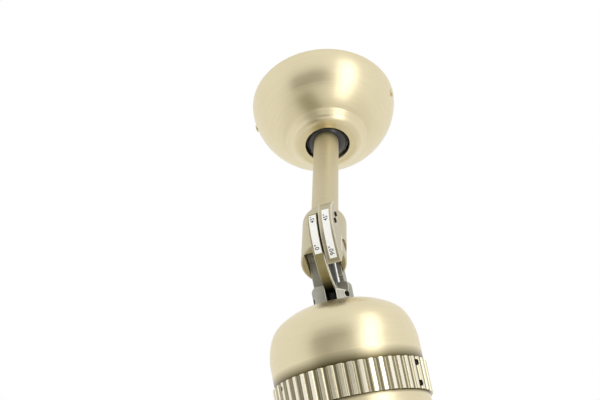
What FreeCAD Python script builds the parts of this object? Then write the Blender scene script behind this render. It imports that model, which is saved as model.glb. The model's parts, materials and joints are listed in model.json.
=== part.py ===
import FreeCAD, Part
import math
import os

# Ceiling fan with a ball hanger, a short rod, a tilting knuckle with an angle scale and a small motor.
# Millimetres. The origin is the centre of the ceiling plane, +Z points up into the ceiling.

# Pose in the photograph, in degrees
SWING_ANGLE = -15.84
TILT_ANGLE = 45.0
ROTOR_PHASE_ANGLE = 75.0
FULL_TURN_ANGLE = 360.0
HEX_SIDE_COUNT = 6

# Shared clearances
RUN_GAP = 0.05
BODY_GAP = 0.5
CUT_OVERRUN = 2.0

# Ceiling bracket
BRACKET_WIDTH = 34.0
BRACKET_STEEL = 2.5
BRACKET_END_GAP = 7.0
BRACKET_TAB_DROP = 16.0
BRACKET_ARM_REACH = 46.0
CEILING_HOLE_SPACING = 88.9
CEILING_HOLE_RADIUS = 2.6
WIRE_HOLE_RADIUS = 9.0
SEAT_RING_RADIUS = 31.0
SEAT_DROP = 12.5

# Canopy
CANOPY_RADIUS = 75.4
CANOPY_WALL = 1.4
CANOPY_DROP = 64.0
CANOPY_MIDDLE_DROP = 32.0
CANOPY_MIDDLE_SHARE = 0.7
CANOPY_NECK_RADIUS = 37.0
CANOPY_LIP_ROUND = 5.0
CANOPY_HOLE_RADIUS = 23.0
CANOPY_SCREW_DROP = 9.0
CANOPY_SCREW_RADIUS = 2.0
CANOPY_SCREW_HEAD_RADIUS = 4.0
CANOPY_SCREW_HEAD = 1.8
CANOPY_SCREW_LENGTH = 9.0

# Hanger ball and liner
BALL_RADIUS = 26.0
BALL_DEPTH = 46.0
BALL_TOP = 19.0
BALL_FOOT = 22.0
BALL_PIN_RADIUS = 3.0
BALL_PIN_LENGTH = 40.0
BALL_PIN_HEIGHT = 13.0
BALL_SCREW_RADIUS = 2.5
BALL_SCREW_HEIGHT = 3.0
BALL_SCREW_SINK = 1.5
LINER_THICKNESS = 1.5
LINER_TOP = 5.0

# Rod
ROD_RADIUS = 12.7
ROD_WALL = 2.0
ROD_ABOVE_BALL = 2.0
BALL_TO_PIVOT = 248.0

# Knuckle clevis on the rod, measured from the pivot
CLEVIS_WALL = 7.65
CLEVIS_NECK_WALL = 1.5
CLEVIS_TOP = 59.0
CLEVIS_SHOULDER_HEIGHT = 50.0
CLEVIS_FOOT_DEPTH = 20.0
CLEVIS_EDGE = 1.2
CLEVIS_SOCKET_DEPTH = 22.0
CLEVIS_SLOT_HEIGHT = 33.0
CLEVIS_SLOT_HALF = 14.5
CLEVIS_WIRE_RADIUS = 5.0
CLEVIS_SCREW_RADIUS = 2.5
CLEVIS_SCREW_HEIGHT = 44.0
CLEVIS_SCREW_SINK = 2.0
CLEVIS_SCREW_ANGLES = (140.0, 220.0)

# Pivot bolt through the knuckle
PIVOT_RADIUS = 5.0
PIVOT_HEAD_RADIUS = 7.0
PIVOT_HEAD = 2.5
PIVOT_NUT_FLATS = 12.0
PIVOT_SEAT = 16.0
PIVOT_SEAT_RADIUS = 7.4

# Fixed quadrant with the 45 to 90 scale
QUADRANT_RADIUS = 42.0
QUADRANT_RIM = 12.0
QUADRANT_WEB = 5.0
FIXED_LEFT = 6.6
FIXED_WIDTH = 12.4
FIXED_ANGLES = (-34.0, 77.0)
FIXED_LABEL_ANGLES = (2.0, 70.5)
FIXED_LABEL_INSET = 3.4
FIXED_SCREW_ANGLES = (-16.0, 8.0)
FIXED_SCREW_RADIUS = 2.2
FIXED_SCREW_HEAD_RADIUS = 3.4
FIXED_SCREW_HEAD = 2.2
LABEL_THICKNESS = 0.3
LABEL_WIDTH = 6.4

# Tilting yoke with the 0 to 45 scale
RIB_LEFT = -3.4
RIB_WIDTH = 9.4
RIB_ANGLES = (-41.0, 88.0)
RIB_LABEL_ANGLES = (-37.0, 16.5)
RIB_LABEL_INSET = 1.5
TONGUE_RADIUS = 12.5
TONGUE_LEFT = -14.0
PRONG_LEFT = 9.6
PRONG_WIDTH = 4.2
STRIP_HALF = 9.0
COLLAR_RADIUS = 18.2
COLLAR_TOP = 32.3
COLLAR_FOOT = 51.6
COLLAR_ROUND = 4.0
COLLAR_SCREW_RADIUS = 3.0
COLLAR_SCREW_LENGTH = 5.5
COLLAR_SCREW_DROP = 45.0
COLLAR_SCREW_ANGLE = 54.0
COLLAR_SCREW_COUNT = 3
BUSH_WALL = 1.5
STEM_RADIUS = 9.9
STEM_FIT = 0.1
STEM_BORE = 6.0
STEM_FLANGE_RADIUS = 18.0
STEM_FLANGE = 4.0

# Motor housing, measured down the motor axis from the pivot
DOME_TOP = 52.0
DOME_HOLE_GAP = 0.4
DOME_STEP = 2.0
DOME_RADIUS_SHARES = (0.36, 0.70, 0.87, 0.988)
DOME_DROPS = (0.0, 6.6, 15.2, 35.0)
DOME_WALL = 1.8
BAND_TOP = 116.4
BAND_HEIGHT = 28.2
BAND_RADIUS = 68.4
BAND_WALL = 3.8
FLUTE_COUNT = 48
FLUTE_RADIUS = 3.4
FLUTE_DEPTH = 1.6
BAND_SCREW_INSET = 5.0
BAND_SCREW_RADIUS = 1.6
BAND_SCREW_HEAD_RADIUS = 2.6
BAND_SCREW_HEAD = 1.0
BAND_SCREW_SINK = 1.9
BAND_SCREW_ANGLE = 69.0
BAND_SCREW_COUNT = 3
SHELL_DEPTH = 60.0
SHELL_STEP = 2.4
SHELL_STRAIGHT = 30.0
SHELL_FLOOR_SHARE = 0.576
SHELL_BOSS_RADIUS = 19.0
SHELL_BOSS_HEIGHT = 12.0

# Motor inside the housing
STATOR_HEIGHT = 30.0
STATOR_INNER_SHARE = 0.558
STATOR_TOOTH_COUNT = 12
STATOR_SLOT_WIDTH = 9.0
STATOR_YOKE = 9.0
COIL_OVERHANG = 7.0
COIL_MARGIN = 3.0
ROTOR_AIR_GAP = 0.6
SHAFT_RADIUS = 7.0
SHAFT_STEP_RADIUS = 9.0
BEARING_RADIUS = 15.0
BEARING_HEIGHT = 10.0
END_PLATE_THICKNESS = 4.0
END_BOSS_RADIUS = 19.0
END_BOSS_HEIGHT = 14.0

# Blade hub, arms and blades
HUB_GAP = 3.0
HUB_RADIUS = 32.0
HUB_HEIGHT = 24.0
HUB_BOSS_RADIUS = 11.0
HUB_BOSS_REACH = 44.0
ARM_RADIUS = 7.0
ARM_SEAT = 24.0
ARM_PALM_START = 62.0
ARM_PALM_END = 122.0
ARM_PALM_WIDTH = 46.0
ARM_PALM_THICKNESS = 4.0
ARM_PALM_ROUND = 14.0
ARM_SCREW_RADIUS = 2.5
ARM_SCREW_PLACE = 36.0
BLADE_COUNT = 3
BLADE_START = 84.0
BLADE_TIP = 275.0
BLADE_ROOT_WIDTH = 64.0
BLADE_TIP_WIDTH = 98.0
BLADE_ROOT_ROUND = 14.0
BLADE_TIP_ROUND = 30.0
BLADE_THICKNESS = 4.5
BLADE_PITCH_ANGLE = 16.0
BLADE_SCREW_RADIUS = 2.0
BLADE_SCREW_HEAD_RADIUS = 4.0
BLADE_SCREW_HEAD = 1.8
BLADE_SCREW_SIDE = 13.0
BLADE_SCREW_NEAR = 94.0
BLADE_SCREW_FAR = 112.0
CAP_INSET = 2.0
CAP_HEIGHT = 15.0
CAP_WALL = 2.0
NUT_FLATS = 19.0
NUT_HEIGHT = 7.0

# Sizes and levels worked out from the ones above
CLEVIS_RADIUS = ROD_RADIUS + CLEVIS_WALL
COLLAR_BORE = STEM_RADIUS + STEM_FIT
STEM_TOP = -COLLAR_TOP - COLLAR_ROUND
BAND_INNER = BAND_RADIUS - BAND_WALL
BAND_LOW = -BAND_TOP - BAND_HEIGHT
DOME_RADIUS = BAND_RADIUS - DOME_STEP
SHELL_RADIUS = BAND_RADIUS - SHELL_STEP
SHELL_FLOOR = BAND_LOW - SHELL_DEPTH
SHELL_BOSS_TOP = SHELL_FLOOR + SHELL_BOSS_HEIGHT
LOWER_BEARING_LOW = SHELL_BOSS_TOP - BEARING_HEIGHT
STATOR_OUTER = BAND_INNER - RUN_GAP
STATOR_INNER = BAND_INNER * STATOR_INNER_SHARE
STATOR_TOP = -BAND_TOP + END_PLATE_THICKNESS / 2
STATOR_LOW = STATOR_TOP - STATOR_HEIGHT
END_PLATE_TOP = STATOR_TOP + COIL_OVERHANG + END_PLATE_THICKNESS
END_PLATE_LOW = END_PLATE_TOP - END_PLATE_THICKNESS + BODY_GAP
END_BOSS_TOP = END_PLATE_TOP + END_BOSS_HEIGHT
UPPER_BEARING_TOP = END_PLATE_LOW + BEARING_HEIGHT
HUB_TOP = SHELL_FLOOR - HUB_GAP
HUB_LOW = HUB_TOP - HUB_HEIGHT
HUB_LEVEL = (HUB_TOP + HUB_LOW) / 2
SHAFT_LOW = HUB_LOW - NUT_HEIGHT
PIVOT_Y = BALL_TO_PIVOT * math.sin(math.radians(SWING_ANGLE))
PIVOT_Z = -BALL_DEPTH - BALL_TO_PIVOT * math.cos(math.radians(SWING_ANGLE))

X = FreeCAD.Vector(1, 0, 0)
Y = FreeCAD.Vector(0, 1, 0)
Z = FreeCAD.Vector(0, 0, 1)
ORIGIN = FreeCAD.Vector(0, 0, 0)


def at(x, y, z):
    return FreeCAD.Vector(x, y, z)


def bar(direction, radius, length, start):
    return Part.makeCylinder(radius, length, start, direction)


def tube(outer, inner, low, high):
    body = bar(Z, outer, high - low, at(0, 0, low))
    if inner > 0:
        body = body.cut(bar(Z, inner, high - low + 2 * CUT_OVERRUN, at(0, 0, low - CUT_OVERRUN)))
    return body


def box(x0, x1, y0, y1, z0, z1):
    return Part.makeBox(x1 - x0, y1 - y0, z1 - z0, at(x0, y0, z0))


def line(a, b):
    return Part.LineSegment(at(a[0], 0, a[1]), at(b[0], 0, b[1])).toShape()


def arc(a, middle, b):
    return Part.Arc(at(a[0], 0, a[1]), at(middle[0], 0, middle[1]), at(b[0], 0, b[1])).toShape()


def lines(points):
    return [line(a, b) for a, b in zip(points, points[1:])]


def revolve(edges):
    """A turned piece: radius and height profile, closed, swept round Z."""
    solid = Part.Face(Part.Wire(edges)).revolve(ORIGIN, Z, FULL_TURN_ANGLE)
    if solid.Volume < 0:
        solid.reverse()
    return solid


def turned(shape, angle, axis=Z):
    copy = shape.copy()
    copy.rotate(ORIGIN, axis, angle)
    return copy


def around(count):
    return [FULL_TURN_ANGLE * step / count for step in range(count)]


def hexagon(flats, height, direction, start):
    """A nut blank that stands on start and rises along direction."""
    corner = flats / 2 / math.cos(math.pi / HEX_SIDE_COUNT)
    corners = [turned(Part.Vertex(corner, 0, 0), angle).Point for angle in around(HEX_SIDE_COUNT)]
    blank = Part.Face(Part.makePolygon(corners + corners[:1])).extrude(Z * height)
    blank.Placement = FreeCAD.Placement(start, FreeCAD.Rotation(Z, direction))
    return blank


def on_ceiling(shape):
    return shape


def on_rod(shape):
    moved = turned(shape, SWING_ANGLE, X)
    moved.translate(at(0, 0, -BALL_DEPTH))
    return moved


def on_knuckle(shape):
    moved = turned(shape, SWING_ANGLE, X)
    moved.translate(at(0, PIVOT_Y, PIVOT_Z))
    return moved


def on_head(shape):
    moved = turned(shape, SWING_ANGLE + TILT_ANGLE, X)
    moved.translate(at(0, PIVOT_Y, PIVOT_Z))
    return moved


def save(name, solids, place):
    placed = [place(solid) for solid in solids]
    shape = placed[0] if len(placed) == 1 else Part.Compound(placed)
    shape.exportStep("parts/" + name + ".step")


def rim_point(radius, angle, x):
    """A point on a circle about the pivot; angles run from the front downwards."""
    turn = math.radians(angle)
    return at(x, -radius * math.cos(turn), -radius * math.sin(turn))


def sector(radius, angles, left, width):
    """A pie slice about the pivot."""
    start, end = angles
    first = rim_point(radius, start, left)
    last = rim_point(radius, end, left)
    edges = [Part.LineSegment(at(left, 0, 0), first).toShape(),
             Part.Arc(first, rim_point(radius, (start + end) / 2, left), last).toShape(),
             Part.LineSegment(last, at(left, 0, 0)).toShape()]
    return Part.Face(Part.Wire(edges)).extrude(X * width)


def ring_sector(outer, inner, angles, left, width):
    core = bar(X, inner, width + 2 * CUT_OVERRUN, at(left - CUT_OVERRUN, 0, 0))
    return sector(outer, angles, left, width).cut(core)


def make_bracket():
    # One bent strip: ceiling plate, canopy tabs, two sloping arms and a seat ring for the ball.
    half = CANOPY_RADIUS - CANOPY_WALL - BRACKET_END_GAP
    side_y = BRACKET_WIDTH / 2
    seat = -BALL_DEPTH - SEAT_DROP
    bracket = box(-half, half, -side_y, side_y, -BRACKET_STEEL, 0)
    bracket = bracket.fuse(tube(SEAT_RING_RADIUS, 0, seat, seat + BRACKET_STEEL))
    drills = [bar(Z * -1, WIRE_HOLE_RADIUS, BRACKET_STEEL + CUT_OVERRUN, ORIGIN)]
    for side in (-1, 1):
        tab = box(half - BRACKET_STEEL, half, -side_y, side_y, -BRACKET_TAB_DROP, 0)
        foot = SEAT_RING_RADIUS - BRACKET_STEEL
        corners = [at(BRACKET_ARM_REACH, -side_y, -BRACKET_STEEL / 2),
                   at(BRACKET_ARM_REACH + BRACKET_STEEL, -side_y, -BRACKET_STEEL / 2),
                   at(foot + BRACKET_STEEL, -side_y, seat),
                   at(foot, -side_y, seat)]
        arm = Part.Face(Part.makePolygon(corners + corners[:1])).extrude(Y * BRACKET_WIDTH)
        for piece in (tab, arm):
            bracket = bracket.fuse(piece if side > 0 else turned(piece, FULL_TURN_ANGLE / 2))
        hole = at(side * CEILING_HOLE_SPACING / 2, 0, 0)
        drills.append(bar(Z * -1, CEILING_HOLE_RADIUS, BRACKET_STEEL + CUT_OVERRUN, hole))
        hole = at(side * (half - BRACKET_STEEL - CUT_OVERRUN), 0, -CANOPY_SCREW_DROP)
        drills.append(bar(X * side, CANOPY_SCREW_RADIUS, BRACKET_STEEL + 2 * CUT_OVERRUN, hole))
    room = Part.makeSphere(BALL_RADIUS + BODY_GAP + LINER_THICKNESS, at(0, 0, -BALL_DEPTH))
    save("hanger_bracket", [bracket.cut([room] + drills).removeSplitter()], on_ceiling)


def make_liner():
    # A rubber ring between the seat and the ball.
    outer = Part.makeSphere(BALL_RADIUS + BODY_GAP + LINER_THICKNESS, at(0, 0, -BALL_DEPTH))
    inner = Part.makeSphere(BALL_RADIUS + BODY_GAP, at(0, 0, -BALL_DEPTH))
    slab = tube(SEAT_RING_RADIUS, 0, -BALL_DEPTH - SEAT_DROP, -BALL_DEPTH - LINER_TOP)
    save("socket_liner", [outer.cut(inner).common(slab)], on_ceiling)


def bell_profile(inset):
    foot = CANOPY_NECK_RADIUS + CANOPY_LIP_ROUND
    middle = foot + (CANOPY_RADIUS - foot) * CANOPY_MIDDLE_SHARE
    lip = CANOPY_LIP_ROUND
    return [(CANOPY_RADIUS - inset, 0),
            (middle - inset, -CANOPY_MIDDLE_DROP + inset),
            (foot - inset, -CANOPY_DROP + 2 * lip + inset),
            (CANOPY_NECK_RADIUS - inset, -CANOPY_DROP + lip + inset / 2),
            (CANOPY_NECK_RADIUS - lip / 2 - inset, -CANOPY_DROP + lip / 3 + inset),
            (CANOPY_NECK_RADIUS - 2 * lip, -CANOPY_DROP + inset),
            (CANOPY_HOLE_RADIUS, -CANOPY_DROP + inset)]


def make_canopy():
    # A spun bell: convex dome, hollow neck and a rolled lip round the hole.
    o = bell_profile(0)
    i = bell_profile(CANOPY_WALL)
    edges = [arc(o[0], o[1], o[2]), line(o[2], o[3]), arc(o[3], o[4], o[5]), line(o[5], o[6]),
             line(o[6], i[6]), line(i[6], i[5]), arc(i[5], i[4], i[3]), line(i[3], i[2]),
             arc(i[2], i[1], i[0]), line(i[0], o[0])]
    screws = []
    for side in (-1, 1):
        seat = at(side * (CANOPY_RADIUS - CANOPY_SCREW_HEAD), 0, -CANOPY_SCREW_DROP)
        head = bar(X * side, CANOPY_SCREW_HEAD_RADIUS, CANOPY_SCREW_HEAD, seat)
        screws.append(head.fuse(bar(X * -side, CANOPY_SCREW_RADIUS, CANOPY_SCREW_LENGTH, seat)))
    save("canopy", [revolve(edges).cut(screws)], on_ceiling)
    save("canopy_screws", screws, on_ceiling)


def make_ball():
    # A moulded sphere with flats, bored for the rod and grooved on top for its cross pin.
    ball = Part.makeSphere(BALL_RADIUS).common(tube(BALL_RADIUS, 0, -BALL_FOOT, BALL_TOP))
    half = BALL_PIN_LENGTH / 2 + RUN_GAP
    room = BALL_PIN_RADIUS + RUN_GAP
    cuts = [tube(ROD_RADIUS + RUN_GAP, 0, -BALL_RADIUS, BALL_RADIUS),
            bar(X, room, 2 * half, at(-half, 0, BALL_PIN_HEIGHT)),
            box(-half, half, -room, room, BALL_PIN_HEIGHT, BALL_RADIUS),
            bar(Y, BALL_SCREW_RADIUS, BALL_RADIUS, at(0, 0, BALL_SCREW_HEIGHT))]
    save("hanger_ball", [ball.cut(cuts)], on_rod)
    pin = bar(X, BALL_PIN_RADIUS, BALL_PIN_LENGTH, at(-BALL_PIN_LENGTH / 2, 0, BALL_PIN_HEIGHT))
    save("ball_cross_pin", [pin], on_rod)
    length = BALL_RADIUS - BALL_SCREW_SINK - ROD_RADIUS
    grub = bar(Y, BALL_SCREW_RADIUS - RUN_GAP, length, at(0, ROD_RADIUS, BALL_SCREW_HEIGHT))
    save("ball_set_screw", [grub], on_rod)


def make_rod():
    # A plain tube, cross drilled for the pin above and seated in the clevis below.
    foot = -BALL_TO_PIVOT + CLEVIS_TOP - CLEVIS_SOCKET_DEPTH
    rod = tube(ROD_RADIUS, ROD_RADIUS - ROD_WALL, foot, BALL_TOP + ROD_ABOVE_BALL)
    reach = ROD_RADIUS + CUT_OVERRUN
    drill = bar(X, BALL_PIN_RADIUS + RUN_GAP, 2 * reach, at(-reach, 0, BALL_PIN_HEIGHT))
    save("downrod", [rod.cut(drill)], on_rod)


def make_clevis():
    # A turned sleeve with a steep shoulder, slotted from below and behind to take the yoke.
    # At the front only the scale rib passes through its wall, on the right half.
    reach = CLEVIS_RADIUS + CUT_OVERRUN
    slot_foot = -CLEVIS_FOOT_DEPTH - CUT_OVERRUN
    front = -TONGUE_RADIUS - BODY_GAP
    floor = CLEVIS_TOP - CLEVIS_SOCKET_DEPTH
    body = revolve(lines([(0, -CLEVIS_FOOT_DEPTH),
                          (CLEVIS_RADIUS - CLEVIS_EDGE, -CLEVIS_FOOT_DEPTH),
                          (CLEVIS_RADIUS, -CLEVIS_FOOT_DEPTH + CLEVIS_EDGE),
                          (CLEVIS_RADIUS, CLEVIS_SHOULDER_HEIGHT),
                          (ROD_RADIUS + CLEVIS_NECK_WALL, CLEVIS_TOP),
                          (0, CLEVIS_TOP),
                          (0, -CLEVIS_FOOT_DEPTH)]))
    cuts = [tube(ROD_RADIUS + RUN_GAP, 0, floor, CLEVIS_TOP + CUT_OVERRUN),
            tube(CLEVIS_WIRE_RADIUS, 0, 0, floor + CUT_OVERRUN),
            box(-CLEVIS_SLOT_HALF, CLEVIS_SLOT_HALF, front, reach, slot_foot, CLEVIS_SLOT_HEIGHT),
            box(RIB_LEFT - BODY_GAP, CLEVIS_SLOT_HALF, -reach, 0, slot_foot, CLEVIS_SLOT_HEIGHT),
            bar(X, PIVOT_RADIUS + RUN_GAP, 2 * reach, at(-reach, 0, 0)),
            bar(X, PIVOT_SEAT_RADIUS, reach, at(PIVOT_SEAT, 0, 0)),
            bar(X * -1, PIVOT_SEAT_RADIUS, reach, at(-PIVOT_SEAT, 0, 0))]
    grubs = []
    for angle in CLEVIS_SCREW_ANGLES:
        start = at(0, -ROD_RADIUS, CLEVIS_SCREW_HEIGHT)
        grub = bar(Y * -1, CLEVIS_SCREW_RADIUS - RUN_GAP, CLEVIS_WALL - CLEVIS_SCREW_SINK, start)
        grubs.append(turned(grub, angle))
        cuts.append(turned(bar(Y * -1, CLEVIS_SCREW_RADIUS, CLEVIS_RADIUS, start), angle))
    save("knuckle_clevis", [body.cut(cuts)], on_knuckle)
    save("clevis_set_screws", grubs, on_knuckle)


def make_fixed_quadrant():
    # A plate on the front of the right cheek whose broad rim carries the upper half of the scale.
    rim_inner = QUADRANT_RADIUS - QUADRANT_RIM
    right = FIXED_LEFT + FIXED_WIDTH
    web_width = right - CLEVIS_SLOT_HALF
    rim = ring_sector(QUADRANT_RADIUS, rim_inner, FIXED_ANGLES, FIXED_LEFT, FIXED_WIDTH)
    web = sector(rim_inner + QUADRANT_WEB, FIXED_ANGLES, CLEVIS_SLOT_HALF, web_width)
    screws = []
    for angle in FIXED_SCREW_ANGLES:
        seat = rim_point((QUADRANT_RADIUS + CLEVIS_RADIUS) / 2, angle, right - FIXED_SCREW_HEAD)
        head = bar(X, FIXED_SCREW_HEAD_RADIUS, FIXED_SCREW_HEAD, seat)
        screws.append(head.fuse(bar(X * -1, FIXED_SCREW_RADIUS, web_width - FIXED_SCREW_HEAD, seat)))
    sleeve = tube(CLEVIS_RADIUS, 0, -CLEVIS_FOOT_DEPTH, CLEVIS_TOP)
    save("fixed_quadrant", [rim.fuse(web).cut([sleeve] + screws).removeSplitter()], on_knuckle)
    save("quadrant_screws", screws, on_knuckle)
    label = ring_sector(QUADRANT_RADIUS + LABEL_THICKNESS, QUADRANT_RADIUS, FIXED_LABEL_ANGLES,
                        FIXED_LEFT + FIXED_LABEL_INSET, LABEL_WIDTH)
    save("scale_label_fixed", [label], on_knuckle)


def make_pivot():
    # A bolt across the cheeks, its head and its nut each sunk in a counterbore.
    bolt = bar(X, PIVOT_RADIUS, 2 * PIVOT_SEAT + PIVOT_HEAD, at(-PIVOT_SEAT, 0, 0))
    bolt = bolt.fuse(bar(X * -1, PIVOT_HEAD_RADIUS, PIVOT_HEAD, at(-PIVOT_SEAT, 0, 0)))
    save("pivot_bolt", [bolt], on_knuckle)
    nut = hexagon(PIVOT_NUT_FLATS, PIVOT_HEAD, X, at(PIVOT_SEAT, 0, 0))
    save("pivot_nut", [nut.cut(bolt)], on_knuckle)


def make_yoke():
    # A casting: a tongue and a thin prong on the pivot, the scale rib and a slit collar below.
    overrun = 2 * CUT_OVERRUN
    tongue_width = RIB_LEFT + RIB_WIDTH - TONGUE_LEFT
    rib = sector(QUADRANT_RADIUS, RIB_ANGLES, RIB_LEFT, RIB_WIDTH)
    collar = tube(COLLAR_RADIUS, 0, -COLLAR_FOOT, -COLLAR_TOP)
    collar = collar.makeFillet(COLLAR_ROUND, [edge for edge in collar.Edges if edge.BoundBox.ZMin > STEM_TOP])
    slit = box(RIB_LEFT, RIB_LEFT + RIB_WIDTH, -COLLAR_RADIUS, 0, -COLLAR_FOOT - CUT_OVERRUN, 0)
    body = collar.cut(slit).fuse(rib)
    for left, width in ((TONGUE_LEFT, tongue_width), (PRONG_LEFT, PRONG_WIDTH)):
        body = body.fuse(bar(X, TONGUE_RADIUS, width, at(left, 0, 0)))
        body = body.fuse(box(left, left + width, -STRIP_HALF, STRIP_HALF, STEM_TOP, 0))
    bush_outer = PIVOT_RADIUS + RUN_GAP + BUSH_WALL
    # The end of the fixed quadrant passes through this relief when the motor hangs straight.
    relief_angles = (0.0, FIXED_ANGLES[1] + 2 * BODY_GAP)
    relief_outer = QUADRANT_RADIUS + LABEL_THICKNESS + 2 * BODY_GAP
    relief_inner = QUADRANT_RADIUS - QUADRANT_RIM - 2 * BODY_GAP
    cuts = [tube(COLLAR_BORE, 0, -COLLAR_FOOT - CUT_OVERRUN, STEM_TOP),
            bar(X, bush_outer, tongue_width, at(TONGUE_LEFT, 0, 0)),
            bar(X, PIVOT_RADIUS + BODY_GAP, PRONG_WIDTH + overrun, at(PRONG_LEFT - CUT_OVERRUN, 0, 0)),
            ring_sector(relief_outer, relief_inner, relief_angles, FIXED_LEFT - BODY_GAP, COLLAR_RADIUS)]
    screws = []
    for angle in around(COLLAR_SCREW_COUNT):
        start = at(0, -COLLAR_BORE, -COLLAR_SCREW_DROP)
        drill = bar(Y * -1, COLLAR_SCREW_RADIUS, COLLAR_RADIUS, at(0, -STEM_BORE, -COLLAR_SCREW_DROP))
        cuts.append(turned(drill, angle + COLLAR_SCREW_ANGLE))
        grub = bar(Y * -1, COLLAR_SCREW_RADIUS - RUN_GAP, COLLAR_SCREW_LENGTH, start)
        screws.append(turned(grub, angle + COLLAR_SCREW_ANGLE))
    save("tilt_yoke", [body.cut(cuts).removeSplitter()], on_head)
    save("collar_set_screws", screws, on_head)
    bush = bar(X, bush_outer, tongue_width, at(TONGUE_LEFT, 0, 0))
    bore = bar(X, PIVOT_RADIUS + RUN_GAP, tongue_width + overrun, at(TONGUE_LEFT - CUT_OVERRUN, 0, 0))
    save("yoke_bush", [bush.cut(bore)], on_head)
    label = ring_sector(QUADRANT_RADIUS + LABEL_THICKNESS, QUADRANT_RADIUS, RIB_LABEL_ANGLES,
                        RIB_LEFT + RIB_LABEL_INSET, LABEL_WIDTH)
    save("scale_label_tilt", [label], on_head)


def dome_curve(inset):
    """One smooth curve from the nearly flat crown, round the turn, to the upright foot."""
    points = []
    for share, drop in zip(DOME_RADIUS_SHARES, DOME_DROPS):
        points.append(at(DOME_RADIUS * share - inset * share, 0, -DOME_TOP - drop - inset * (1 - share)))
    points.append(at(DOME_RADIUS - inset, 0, -BAND_TOP))
    curve = Part.BSplineCurve()
    curve.interpolate(Points=points, InitialTangent=X, FinalTangent=Z * -1)
    return curve.toShape(), points


def make_dome():
    # A spun cover with a nearly flat crown, a rounded turn and an upright side.
    outer, o = dome_curve(0)
    inner, i = dome_curve(DOME_WALL)
    hole = STEM_RADIUS + DOME_HOLE_GAP
    crown = [(i[0].x, i[0].z), (hole, i[0].z), (hole, o[0].z), (o[0].x, o[0].z)]
    edges = lines(crown) + [outer, line((o[-1].x, o[-1].z), (i[-1].x, i[-1].z)), inner]
    save("upper_dome", [revolve(Part.__sortEdges__(edges))], on_head)


def make_band():
    # A ring with upright flutes all round and three pairs of sunk screws.
    flute_place = BAND_RADIUS + FLUTE_RADIUS - FLUTE_DEPTH
    flute = bar(Z, FLUTE_RADIUS, BAND_HEIGHT + 2 * CUT_OVERRUN, at(0, -flute_place, BAND_LOW - CUT_OVERRUN))
    cuts = [turned(flute, angle) for angle in around(FLUTE_COUNT)]
    screws = []
    for angle in around(BAND_SCREW_COUNT):
        for level in (-BAND_TOP - BAND_SCREW_INSET, BAND_LOW + BAND_SCREW_INSET):
            seat = at(0, -BAND_RADIUS + BAND_SCREW_SINK + BAND_SCREW_HEAD, level)
            shank = bar(Y, BAND_SCREW_RADIUS, -BAND_INNER - seat.y, seat)
            head = bar(Y * -1, BAND_SCREW_HEAD_RADIUS, BAND_SCREW_HEAD, seat)
            room = bar(Y * -1, BAND_SCREW_HEAD_RADIUS, BAND_WALL, seat)
            drill = bar(Y, BAND_SCREW_RADIUS, BAND_WALL, seat)
            screws.append(turned(head.fuse(shank), angle + BAND_SCREW_ANGLE))
            cuts.append(turned(room.fuse(drill), angle + BAND_SCREW_ANGLE))
    save("fluted_band", [tube(BAND_RADIUS, BAND_INNER, BAND_LOW, -BAND_TOP).cut(cuts)], on_head)
    save("band_screws", screws, on_head)


def bowl_profile(inset):
    radius = SHELL_RADIUS - inset
    foot = SHELL_RADIUS * SHELL_FLOOR_SHARE - inset / 2
    floor = SHELL_FLOOR + inset
    side = BAND_LOW - SHELL_STRAIGHT
    bend = math.pi / 4
    middle = (foot + (radius - foot) * math.sin(bend), side - (side - floor) * math.cos(bend))
    return [(radius, BAND_LOW), (radius, side), middle, (foot, floor)]


def make_shell():
    # A bowl below the band with a boss for the lower bearing.
    o = bowl_profile(0)
    i = bowl_profile(DOME_WALL)
    bore = SHAFT_STEP_RADIUS + BODY_GAP
    edges = [arc(o[1], o[2], o[3]), arc(i[3], i[2], i[1])]
    edges += lines([i[1], i[0], o[0], o[1]])
    edges += lines([o[3], (bore, SHELL_FLOOR), (bore, LOWER_BEARING_LOW), (BEARING_RADIUS, LOWER_BEARING_LOW),
                    (BEARING_RADIUS, SHELL_BOSS_TOP), (SHELL_BOSS_RADIUS, SHELL_BOSS_TOP),
                    (SHELL_BOSS_RADIUS, i[3][1]), i[3]])
    save("lower_shell", [revolve(Part.__sortEdges__(edges))], on_head)


def make_stator():
    # A slotted iron ring in the band with a ring of coil heads above and below it.
    slot_out = STATOR_OUTER - STATOR_YOKE
    half = STATOR_SLOT_WIDTH / 2
    slot = box(-half, half, STATOR_INNER - CUT_OVERRUN, slot_out, STATOR_LOW - CUT_OVERRUN,
               STATOR_TOP + CUT_OVERRUN)
    slots = [turned(slot, angle) for angle in around(STATOR_TOOTH_COUNT)]
    save("stator_core", [tube(STATOR_OUTER, STATOR_INNER, STATOR_LOW, STATOR_TOP).cut(slots)], on_head)
    coil_in = STATOR_INNER + COIL_MARGIN
    coil_out = slot_out - COIL_MARGIN
    coils = [tube(coil_out, coil_in, STATOR_LOW - COIL_OVERHANG, STATOR_LOW),
             tube(coil_out, coil_in, STATOR_TOP, STATOR_TOP + COIL_OVERHANG)]
    save("stator_winding", coils, on_head)


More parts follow.
